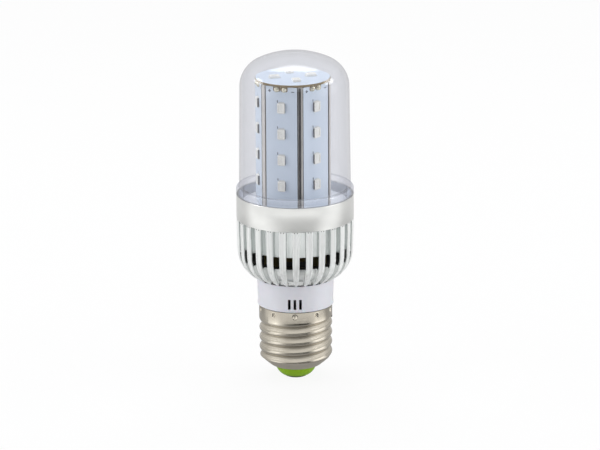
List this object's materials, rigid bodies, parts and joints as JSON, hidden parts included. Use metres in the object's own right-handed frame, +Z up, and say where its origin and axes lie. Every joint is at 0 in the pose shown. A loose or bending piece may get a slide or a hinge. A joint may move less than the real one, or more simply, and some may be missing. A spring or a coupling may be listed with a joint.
{
  "type": "uv led bulb",
  "caption": "LED bulb with an E27 screw cap, a finned aluminium heat sink and a clear cover over a six-sided column of LEDs.",
  "frame": {"origin": "on the bulb's axis, at the bottom of the centre contact", "axes": "+Z up the bulb's axis from the cap to the crown of the cover; -Y is the side with a fin's face and vent slots"},
  "size_m": [0.042, 0.042, 0.1202],
  "materials": {
    "clear_plastic": "clear polycarbonate, glossy",
    "cast_aluminium": "die-cast, turned band, satin",
    "white_plastic": "fine satin",
    "nickel_sheet": "nickel-plated, slightly dull",
    "green_plastic": "moulded, satin",
    "contact_metal": "dark plated",
    "extruded_aluminium": "drawn, satin",
    "board_mask": "pale solder mask on metal core",
    "led_package": "cream moulding",
    "solder": "reflowed, shiny",
    "screw_steel": "zinc-plated",
    "driver_laminate": "glass laminate",
    "capacitor_sleeve": "heat-shrunk sleeve",
    "ferrite": "matt, sintered",
    "winding_tape": "polyester tape",
    "chip_moulding": "moulded epoxy",
    "resistor_body": "coated",
    "black_lead": "insulated wire",
    "red_lead": "insulated wire"
  },
  "bodies": {
    "root": {"base_cup": "white_plastic", "bridge_rectifier": "chip_moulding", "centre_contact": "contact_metal", "clear_cover": "clear_plastic", "column_screws": "screw_steel", "contact_lead": "black_lead", "corner_solder": "solder", "driver_board": "driver_laminate", "driver_chip": "chip_moulding", "fuse_resistor": "resistor_body", "heatsink": "cast_aluminium", "input_capacitor": "capacitor_sleeve", "insulator": "green_plastic", "led_column": "extruded_aluminium", "led_lead_minus": "black_lead", "led_lead_plus": "red_lead", "output_capacitor": "capacitor_sleeve", "screw_shell": "nickel_sheet", "shell_lead": "black_lead", "side_board_1": "board_mask", "side_board_2": "board_mask", "side_board_3": "board_mask", "side_board_4": "board_mask", "side_board_5": "board_mask", "side_board_6": "board_mask", "side_leds_1": "led_package", "side_leds_2": "led_package", "side_leds_3": "led_package", "side_leds_4": "led_package", "side_leds_5": "led_package", "side_leds_6": "led_package", "top_board": "board_mask", "top_leds": "led_package", "transformer_core": "ferrite", "transformer_winding": "winding_tape"}
  },
  "joints": []
}
